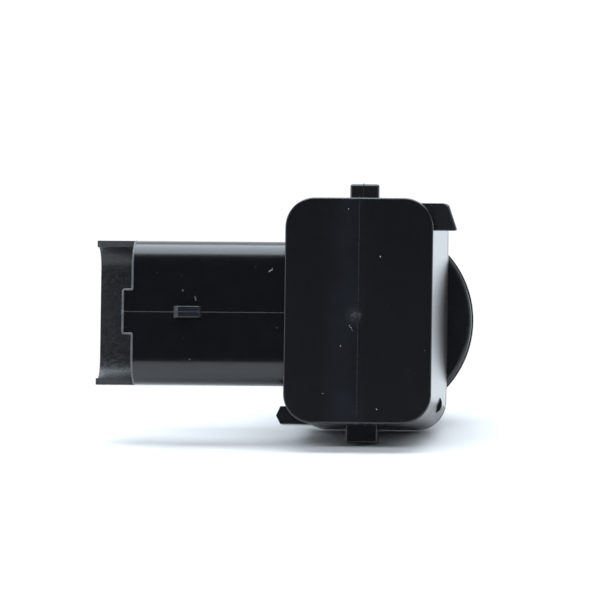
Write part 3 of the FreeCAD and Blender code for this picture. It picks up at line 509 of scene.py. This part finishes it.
def piezo_ceramic(name):
    """Fired ceramic with small pores."""
    look = Look(name)
    pores = look.remap(look.cells(0.09), 0.0, 0.5, 1.0, 0.0)
    look.set(
        Base_Color=look.mix(look.noise(0.6), (0.44, 0.40, 0.31), (0.58, 0.54, 0.44)),
        Roughness=look.remap(pores, 0, 1, 0.45, 0.7),
        Normal=look.bump(pores, 0.004),
    )
    return look.material


def fibrous(name, dark, light, size, depth):
    """Felt: crossed layers of stretched noise for its fibres, paler on the raised fibres and darker
    between them: fibre tone, with painted shade between the fibres.
    """
    look = Look(name)
    one = look.noise(size, detail=4.0, stretch=(0.15, 1, 1), distortion=0.5)
    other = look.noise(size, detail=4.0, stretch=(1, 1, 0.15), distortion=0.5)
    fibres = look.maths("MAXIMUM", one, other)
    look.set(
        # Fibre tone, and painted shade in the low gaps between the fibres.
        Base_Color=look.mix(fibres, dark, light),
        Roughness=0.95,
        Normal=look.bump(fibres, depth),
        Sheen_Weight=0.3,
    )
    return look.material


def cellular(name, dark, light, size, depth):
    """Foam: open cells with thin walls, painted darker inside the cells as shade."""
    look = Look(name)
    walls = look.remap(look.cells(size, feature="DISTANCE_TO_EDGE"), 0.0, 0.25, 1.0, 0.0)
    look.set(
        # Painted shade: darker inside the cells, paler on their walls.
        Base_Color=look.mix(walls, dark, light),
        Roughness=look.remap(look.noise(0.3), 0, 1, 0.8, 0.95),
        Normal=look.bump(walls, depth),
    )
    return look.material


def grainy(name, dark, light, rough, size, depth=0.004, fleck=None):
    """Fired or cast material: a cloudy colour with grains, and flecks of another if given."""
    look = Look(name)
    grains = look.cells(size)
    colour = look.mix(look.noise(8 * size, detail=5.0), dark, light)
    if fleck:
        colour = look.mix(look.remap(grains, 0.08, 0.14, 1.0, 0.0), colour, fleck)
    look.set(
        Base_Color=colour,
        Roughness=look.remap(look.noise(3 * size), 0.3, 0.7, rough - 0.06, rough + 0.08),
        Normal=look.bump(grains, depth),
    )
    return look.material


def board_laminate(name):
    """Green solder mask over copper tracks and ground areas, with a glass weave."""
    look = Look(name)
    tracks = look.cells(1.7, feature="DISTANCE_TO_EDGE", stretch=(1, 0.01, 1.6))
    copper = look.remap(tracks, 0.10, 0.13)
    mask = look.mix(copper, (0.012, 0.075, 0.032), (0.02, 0.125, 0.05))
    along, across = look.noise(0.2, stretch=(0.1, 1, 1)), look.noise(0.2, stretch=(1, 1, 0.1))
    weave = look.maths("MAXIMUM", along, across)
    look.set(
        Base_Color=look.mix(look.remap(weave, 0.6, 0.8, 0.0, 0.3), mask, (0.05, 0.14, 0.06)),
        Roughness=look.remap(look.noise(1.0), 0.3, 0.7, 0.28, 0.38),
        Normal=look.bump(copper, 0.03, under=look.bump(weave, 0.004)),
    )
    return look.material


WIRE_PITCH = 0.16


def copper_winding(name):
    """Enamelled wire: close turns across the drum's axis, painted darker in the grooves between
    turns and paler on their crests, as shade and highlight.
    """
    look = Look(name)
    turn = look.maths("SINE", look.times(look.axis("Y"), 2 * math.pi / WIRE_PITCH))
    height = look.remap(turn, -1.0, 1.0)
    # Painted shade and highlight: the colour follows each turn's height.
    look.set(
        Base_Color=look.mix(height, (0.32, 0.09, 0.03), (0.72, 0.27, 0.10)),
        Metallic=1.0,
        Roughness=look.remap(look.noise(0.4), 0.3, 0.7, 0.2, 0.34),
        Normal=look.bump(height, 0.06),
        Coat_Weight=0.5,
    )
    return look.material


def potting_resin(name):
    """Dark resin with a glossy, faintly rippled top and small bubbles."""
    look = Look(name)
    bubbles = look.bump(look.remap(look.cells(0.8), 0.08, 0.12, 1.0, 0.0), 0.03)
    look.set(
        Base_Color=look.mix(look.noise(3.0), (0.010, 0.008, 0.006), (0.022, 0.018, 0.014)),
        Roughness=look.remap(look.noise(2.0), 0.3, 0.7, 0.12, 0.22),
        Normal=look.bump(look.noise(3.5, detail=1.0), 0.05, under=bubbles),
    )
    return look.material


def wire_sleeve(name, dark, light):
    """Coloured insulation with faint draw marks along the wire."""
    look = Look(name)
    look.set(
        Base_Color=look.mix(look.noise(0.5, stretch=(1, 0.3, 1)), dark, light),
        Roughness=look.remap(look.noise(0.3), 0.3, 0.7, 0.35, 0.5),
        Normal=look.bump(look.noise(0.15, stretch=(1, 0.2, 1)), 0.004),
    )
    return look.material


def dust_grey(name):
    """Pale matt grains."""
    look = Look(name)
    look.set(
        Base_Color=look.mix(look.noise(0.05), (0.35, 0.36, 0.38), (0.7, 0.71, 0.73)),
        Roughness=look.remap(look.noise(0.08), 0, 1, 0.8, 0.95),
        Normal=look.bump(look.noise(0.03), 0.01),
    )
    return look.material


def scuffed_gate(name):
    """The gate's torn, paler plastic."""
    look = Look(name)
    torn = look.noise(0.09, detail=6.0, roughness=0.8, distortion=1.0)
    pale = look.remap(torn, 0.48, 0.62)
    look.set(
        Base_Color=look.mix(pale, (0.005, 0.0058, 0.008), (0.070, 0.075, 0.083)),
        Roughness=look.remap(torn, 0.3, 0.7, 0.38, 0.6),
        Normal=look.bump(torn, 0.03),
    )
    return look.material


def flash_plastic(name, tint):
    """The thin proud flash along a parting line or a moulded edge, paler where it is scuffed. A
    pale tint paints a highlight on it.
    """
    look = Look(name)
    scuffs = look.noise(0.4, detail=4.0)
    look.set(
        Base_Color=look.mix(scuffs, tinted(tint, 0.5), tinted(tint, 1.5)),
        Roughness=look.remap(look.noise(0.25, detail=4.0), 0.3, 0.7, 0.2, 0.42),
        Normal=look.bump(look.noise(0.12), 0.004),
    )
    return look.material


# What makes each material slot of the CAD nodes, and its settings.
MATERIALS = {
    "case_plastic": (case_plastic, {}),
    "carrier_plastic": (moulded, dict(tint=(0.0065, 0.0069, 0.0082), rough=0.27)),
    "insert_plastic": (
        moulded,
        dict(tint=(0.016, 0.016, 0.017), rough=0.45, fibre=(0.05, 0.05, 0.05)),
    ),
    "base_plastic": (
        moulded,
        dict(tint=(0.36, 0.34, 0.29), rough=0.45, fibre=(0.52, 0.50, 0.44)),
    ),
    "tinned_contact": (
        brushed_metal,
        dict(tint=(0.80, 0.79, 0.76), tarnish=(0.56, 0.54, 0.49), rough=0.24, stretch=(0.15, 1, 1)),
    ),
    "capacitor_can": (
        brushed_metal,
        dict(tint=(0.74, 0.75, 0.77), tarnish=(0.58, 0.59, 0.60), rough=0.3, stretch=(1, 0.1, 1)),
    ),
    "solder": (
        brushed_metal,
        dict(tint=(0.72, 0.73, 0.74), tarnish=(0.5, 0.5, 0.5), rough=0.2, stretch=(1, 1, 1)),
    ),
    "painted_membrane": (painted_membrane, {}),
    "silicone_black": (silicone, dict(tint=(0.013, 0.0135, 0.0145), dusty=(0.075, 0.078, 0.08))),
    "silicone_grey": (silicone, dict(tint=(0.11, 0.115, 0.12), dusty=(0.24, 0.245, 0.25))),
    "piezo_ceramic": (piezo_ceramic, {}),
    "damping_felt": (
        fibrous,
        dict(dark=(0.22, 0.20, 0.17), light=(0.62, 0.59, 0.52), size=0.25, depth=0.06),
    ),
    "backing_foam": (
        cellular,
        dict(dark=(0.05, 0.05, 0.052), light=(0.17, 0.17, 0.175), size=0.35, depth=0.08),
    ),
    "signal_wire": (wire_sleeve, dict(dark=(0.35, 0.012, 0.010), light=(0.52, 0.03, 0.022))),
    "ground_wire": (wire_sleeve, dict(dark=(0.55, 0.54, 0.50), light=(0.72, 0.71, 0.67))),
    "board_laminate": (board_laminate, {}),
    "chip_epoxy": (
        grainy,
        dict(dark=(0.012, 0.012, 0.013), light=(0.022, 0.022, 0.024), rough=0.5, size=0.08),
    ),
    "ferrite": (
        grainy,
        dict(
            dark=(0.022, 0.022, 0.024), light=(0.045, 0.044, 0.046), rough=0.55, size=0.12,
            depth=0.01,
        ),
    ),
    "resistor_body": (
        grainy,
        dict(
            dark=(0.015, 0.015, 0.017), light=(0.03, 0.03, 0.033), rough=0.4, size=0.1,
            fleck=(0.3, 0.3, 0.3),
        ),
    ),
    "capacitor_body": (
        grainy,
        dict(
            dark=(0.28, 0.18, 0.10), light=(0.40, 0.28, 0.17), rough=0.4, size=0.1,
            fleck=(0.5, 0.4, 0.3),
        ),
    ),
    "copper_winding": (copper_winding, {}),
    "potting_resin": (potting_resin, {}),
}


def dress_nodes():
    """Gives each CAD node the procedural material of its slot."""
    made = {}
    for row in frame["record"]["subparts"]:
        slot = row["material_slot"]
        if slot not in made:
            builder, settings = MATERIALS[slot]
            made[slot] = builder(slot, **settings)
        node = frame["nodes"][row["node"]]
        node.data.materials.clear()
        node.data.materials.append(made[slot])


# ------------------------------------------------------------ detail pieces


def finish_mesh(name, mesh, material, smooth=True):
    """Turns a bmesh into an object in the scene."""
    bmesh.ops.recalc_face_normals(mesh, faces=mesh.faces)
    for face in mesh.faces:
        face.smooth = smooth
    data = bpy.data.meshes.new(name)
    mesh.to_mesh(data)
    mesh.free()
    data.materials.append(material)
    piece = bpy.data.objects.new(name, data)
    SCENE.collection.objects.link(piece)
    return piece


def hold(piece, body):
    """Fixes a piece to its body."""
    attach(piece, body)


def skin(mesh, rings):
    """A closed bar over rings of vertices: its sides, and then its two ends."""
    for one, other in zip(rings, rings[1:]):
        for k in range(len(one)):
            on = (k + 1) % len(one)
            mesh.faces.new((one[k], one[on], other[on], other[k]))
    mesh.faces.new(rings[0][::-1])
    mesh.faces.new(rings[-1])


def neighbours(path, i):
    """The points before and after one on a path, which stands in for a missing one itself."""
    return path[max(i - 1, 0)], path[min(i + 1, len(path) - 1)]


def sweep(mesh, path, side, section):
    """A closed bar along a path, whose section is points (along side, out to the path's left)."""
    rings = []
    for i, point in enumerate(path):
        before, after = neighbours(path, i)
        out = side.cross((after - before).normalized()).normalized()
        places = [(point + side * across + out * rise) * MM for across, rise in section]
        rings.append([mesh.verts.new(place) for place in places])
    skin(mesh, rings)


# A direction that no path follows, from which a tube's first section is turned.
TUBE_SIDE = Vector((0.31, 0.55, 0.77))


def tube(mesh, path, radius, count=8):
    """A round closed bar along a path that may turn any way."""
    turns = [2 * math.pi * k / count for k in range(count)]
    section = [(radius * math.cos(turn), radius * math.sin(turn)) for turn in turns]
    rings = []
    side = TUBE_SIDE
    for i, point in enumerate(path):
        before, after = neighbours(path, i)
        along = (after - before).normalized()
        side = (side - along * side.dot(along)).normalized()
        out = along.cross(side)
        rings.append([mesh.verts.new((point + side * a + out * b) * MM) for a, b in section])
    skin(mesh, rings)


def rounded(corners, radius, steps=4):
    """A polyline in 3-D with each inner corner taken off by short chords of an arc."""
    path = [corners[0]]
    for before, corner, after in zip(corners, corners[1:], corners[2:]):
        back, on = (before - corner).normalized(), (after - corner).normalized()
        half_turn = (math.pi - back.angle(on)) / 2
        reach = radius * math.tan(half_turn)
        start, end = corner + back * reach, corner + on * reach
        for step in range(steps + 1):
            t = step / steps
            path.append(start.lerp(corner, t).lerp(corner.lerp(end, t), t))
    path.append(corners[-1])
    return path


def finely(path, spacing):
    """The same path with points no further apart than spacing."""
    dense = [path[0]]
    for one, other in zip(path, path[1:]):
        count = max(1, math.ceil((other - one).length / spacing))
        dense += [one.lerp(other, step / count) for step in range(1, count + 1)]
    return dense


# Sections of the mould's ridges, as (across, height over the surface): one lopsided, one even.
RIDGE_STEEP = [
    (-0.05, -0.05), (-0.045, 0.02), (-0.02, 0.04), (0.0, 0.038), (0.06, -0.012), (0.06, -0.05)
]
RIDGE_EVEN = [(-0.07, -0.05), (-0.055, 0.018), (0.0, 0.034), (0.055, 0.018), (0.07, -0.05)]
RIDGE_SPACING = 1.0


def add_parting_lines(material):
    """The mould's ridges: round the case at X = 0, over the upper lug, and along the socket."""
    mesh = bmesh.new()
    across, up = Vector((1, 0, 0)), Vector((0, 0, 1))
    high = [(CASE_SEAM, CASE_HIGH), (CASE_REAR, CASE_HIGH)]
    low = [(CASE_REAR, CASE_LOW), (CASE_SEAM, CASE_LOW)]
    path = rounded([Vector((0, y, z)) for y, z in high + low], CASE_EDGE)
    sweep(mesh, finely(path, RIDGE_SPACING), across, RIDGE_STEEP)
    front = [(LUG_FRONT, LUG_BASE), (LUG_FRONT, LUG_TOP - LUG_FALL)]
    rear = [(LUG_REAR, LUG_TOP), (LUG_REAR, LUG_BASE)]
    path = rounded([Vector((LUG_RIDGE, y, z)) for y, z in front + rear], LUG_EDGE)
    sweep(mesh, path, across, RIDGE_EVEN)
    socket = [(-CASE_SIDE, 0.0), *NOSE, (TONGUE_END - 0.05, 0.0)]
    path = [Vector((x, SOCKET_REAR - proud, SOCKET_MIDDLE)) for x, proud in socket]
    sweep(mesh, finely(rounded(path, NOSE_EDGE), RIDGE_SPACING), up, RIDGE_EVEN)
    hold(finish_mesh("parting_lines", mesh, material, smooth=False), BODY)


# The mouth's bead lies MOUTH_INSET inside the wall's outline. Its arc is (start, sweep) in degrees.
MOUTH_INSET, MOUTH_RADIUS, MOUTH_CORNER = 0.06, 0.12, 0.15
MOUTH_ARC, MOUTH_STEPS = (4, 86), 10
NIB_RADIUS, NIB_OFFSET, NIB_HEIGHTS = 0.14, 0.05, (-0.32, -0.05, 0.12)


def add_mouth_edge(material):
    """The soft rolled edge of the socket's near wall, round its tongue and its two corners."""
    start, sweep_angle = MOUTH_ARC
    bend = SOCKET_CORNER - MOUTH_INSET
    edge = MOUTH_END + MOUTH_INSET
    centre_y, centre_z = SOCKET_REAR + SOCKET_CORNER, SOCKET_HALF - SOCKET_CORNER
    corner = []
    for step in range(MOUTH_STEPS + 1):
        turn = math.radians(start + sweep_angle * step / MOUTH_STEPS)
        y, z = -math.sin(turn) * bend, math.cos(turn) * bend
        corner.append(Vector((edge, centre_y + y, centre_z + z)))
    rear, tongue = SOCKET_REAR + MOUTH_INSET, TONGUE_END + MOUTH_INSET
    steps = [
        corner[-1],
        Vector((edge, rear, TONGUE_HALF - MOUTH_INSET)),
        Vector((tongue, rear, TONGUE_HALF - MOUTH_INSET)),
        Vector((tongue, rear, 0)),
    ]
    half = corner + rounded(steps, MOUTH_CORNER)[1:]
    mirrored = [Vector((p.x, p.y, -p.z)) for p in half[-2::-1]]
    mesh = bmesh.new()
    tube(mesh, [p + Vector((0, 0, SOCKET_MIDDLE)) for p in half + mirrored], MOUTH_RADIUS)
    nib = [Vector((TONGUE_END + NIB_OFFSET, SOCKET_REAR, SOCKET_MIDDLE + z)) for z in NIB_HEIGHTS]
    tube(mesh, nib, NIB_RADIUS)
    hold(finish_mesh("mouth_edge", mesh, material), BODY)


# The gate: a patch of rings round a nub, with a ragged outline, a low dome and a torn surface.
GATE_SEED = 7
GATE_RINGS, GATE_SPOKES = 8, 36
GATE_CENTRE = Vector((-0.12, CASE_REAR, -0.2))
GATE_WIDE, GATE_TALL = 0.66, 0.48
GATE_NUB, GATE_DOME, GATE_SINK = 0.035, 0.02, 0.02
GATE_RAGGED, GATE_TORN = (0.55, 1.25), (-0.012, 0.03)


def add_gate_mark(material):
    """The broken-off gate in the middle of the rear face: a low torn patch with a nub."""
    draw = random.Random(GATE_SEED)
    mesh = bmesh.new()
    top = mesh.verts.new((GATE_CENTRE + Vector((0, -GATE_NUB, 0))) * MM)
    ragged = [draw.uniform(*GATE_RAGGED) for _ in range(GATE_SPOKES)]
    previous = None
    for ring in range(1, GATE_RINGS + 1):
        share = ring / GATE_RINGS
        row = []
        for k in range(GATE_SPOKES):
            turn = 2 * math.pi * k / GATE_SPOKES
            reach = share * ragged[k]
            rise = GATE_DOME * (1 - share) + draw.uniform(*GATE_TORN) * (1 - share ** 3)
            if ring == GATE_RINGS:
                rise = -GATE_SINK
            across, up = GATE_WIDE * reach * math.cos(turn), GATE_TALL * reach * math.sin(turn)
            row.append(mesh.verts.new((GATE_CENTRE + Vector((across, -rise, up))) * MM))
        for k in range(GATE_SPOKES):
            on = (k + 1) % GATE_SPOKES
            if previous is None:
                mesh.faces.new((top, row[k], row[on]))
            else:
                mesh.faces.new((previous[k], row[k], row[on], previous[on]))
        previous = row
    mesh.faces.new(previous)
    hold(finish_mesh("gate_mark", mesh, material, smooth=False), BODY)


# Specks as (X, Y, Z, size), on the rear face and on the socket's near wall.
SPECKS = [
    (2.40, CASE_REAR, 6.30, 0.085),
    (2.25, CASE_REAR, -10.65, 0.085),
    (-1.90, CASE_REAR, -3.65, 0.06),
    (-1.20, CASE_REAR, 11.55, 0.05),
    (7.50, CASE_REAR, -4.10, 0.05),
    (-3.80, CASE_REAR, -8.95, 0.055),
    (5.70, CASE_REAR, -6.30, 0.03),
    (-5.20, CASE_REAR, 3.10, 0.03),
    (3.30, CASE_REAR, 0.90, 0.03),
    (-19.70, SOCKET_REAR, 2.45, 0.06),
    (-18.85, SOCKET_REAR, -5.20, 0.05),
    (-22.60, SOCKET_REAR, 4.40, 0.03),
    (-14.30, SOCKET_REAR, -2.90, 0.03),
    (-11.60, SOCKET_REAR, 5.10, 0.03),
]

# Scratches as (Y, then points in X and Z): one by the gate, and two on the socket's near wall.
SCRATCHES = [
    (CASE_REAR, [(-0.98, -1.30), (-0.86, -1.52), (-0.66, -1.70), (-0.62, -1.92)]),
    (SOCKET_REAR, [(-10.15, 4.55), (-10.02, 4.72), (-9.80, 4.70), (-9.72, 4.98)]),
    (SOCKET_REAR, [(-18.20, 1.35), (-18.35, 1.60), (-18.30, 1.78)]),
]
SCRATCH_RADIUS, SCRATCH_CORNER, SCRATCH_SIDES = 0.012, 0.08, 6

# Specks strewn over the case's two sides, in these ranges of Y, Z and size.
DUST_SEED = 21
SIDE_SPECKS = 26
STREWN_Y, STREWN_Z, STREWN_SIZE = (-16.5, -4.5), (-8.5, 9.5), (0.02, 0.045)
GRAIN_RANGE = (0.6, 1.15)


def speck(mesh, place, size, draw):
    """An irregular grain."""
    made = bmesh.ops.create_icosphere(mesh, subdivisions=1, radius=size * MM)
    for vert in made["verts"]:
        vert.co *= draw.uniform(*GRAIN_RANGE)
        vert.co += Vector(place) * MM


def add_dust(material):
    """The dust grains and the fine scratches on the case and the socket."""
    draw = random.Random(DUST_SEED)
    mesh = bmesh.new()
    for x, y, z, size in SPECKS:
        speck(mesh, (x, y, z), size, draw)
    for _ in range(SIDE_SPECKS):
        side = draw.choice((-1, 1))
        y, z = draw.uniform(*STREWN_Y), draw.uniform(*STREWN_Z)
        if side < 0 and abs(z) < SOCKET_HALF + 1:
            side = 1
        speck(mesh, (side * CASE_SIDE, y, z), draw.uniform(*STREWN_SIZE), draw)
    for y, points in SCRATCHES:
        path = rounded([Vector((x, y, z)) for x, z in points], SCRATCH_CORNER)
        tube(mesh, path, SCRATCH_RADIUS, count=SCRATCH_SIDES)
    hold(finish_mesh("dust_specks", mesh, material), BODY)


RIB_COUNT = 48
RIB_RADIUS, RIB_START, RIB_END, RIB_SLOPE = 9.1, 2.62, 3.42, 0.12
RIB_WIDTH, RIB_PROUD, RIB_SINK = 0.34, 0.085, 0.06


def add_ring_ribs(material):
    """Fine ribs round the silicone ring's lip, which grip the bracket's bore."""
    mesh = bmesh.new()
    section = [
        (-RIB_WIDTH / 2, -RIB_SINK),
        (-RIB_WIDTH / 4, RIB_PROUD),
        (RIB_WIDTH / 4, RIB_PROUD),
        (RIB_WIDTH / 2, -RIB_SINK),
    ]
    full_start, full_end = RIB_START + RIB_SLOPE, RIB_END - RIB_SLOPE
    stations = ((RIB_START, 0.0), (full_start, 1.0), (full_end, 1.0), (RIB_END, 0.0))
    for k in range(RIB_COUNT):
        turn = Matrix.Rotation(2 * math.pi * k / RIB_COUNT, 4, "Y")
        rows = []
        for y, grow in stations:
            row = []
            for across, rise in section:
                lift = rise * grow if rise > 0 else rise
                row.append(mesh.verts.new(turn @ Vector((RIB_RADIUS + lift, y, across)) * MM))
            rows.append(row)
        skin(mesh, rows)
    hold(finish_mesh("ring_ribs", mesh, material), RING_BODY)


SCENE.view_settings.view_transform = "Standard"
SCENE.view_settings.look = "None"
add_camera()
add_floor()
add_lights()
add_world()
dress_nodes()
add_parting_lines(flash_plastic("parting_flash", (0.016, 0.0175, 0.021)))
# The socket's mouth edge and nib take a pale tint: a painted highlight along the rolled edge.
add_mouth_edge(flash_plastic("mouth_flash_and_highlight", (0.085, 0.09, 0.10)))
add_gate_mark(scuffed_gate("scuffed_gate"))
add_dust(dust_grey("dust_grey"))
# This name is the frame's own plain material. The one that dress_nodes makes is another.
add_ring_ribs(bpy.data.materials["silicone_black"])
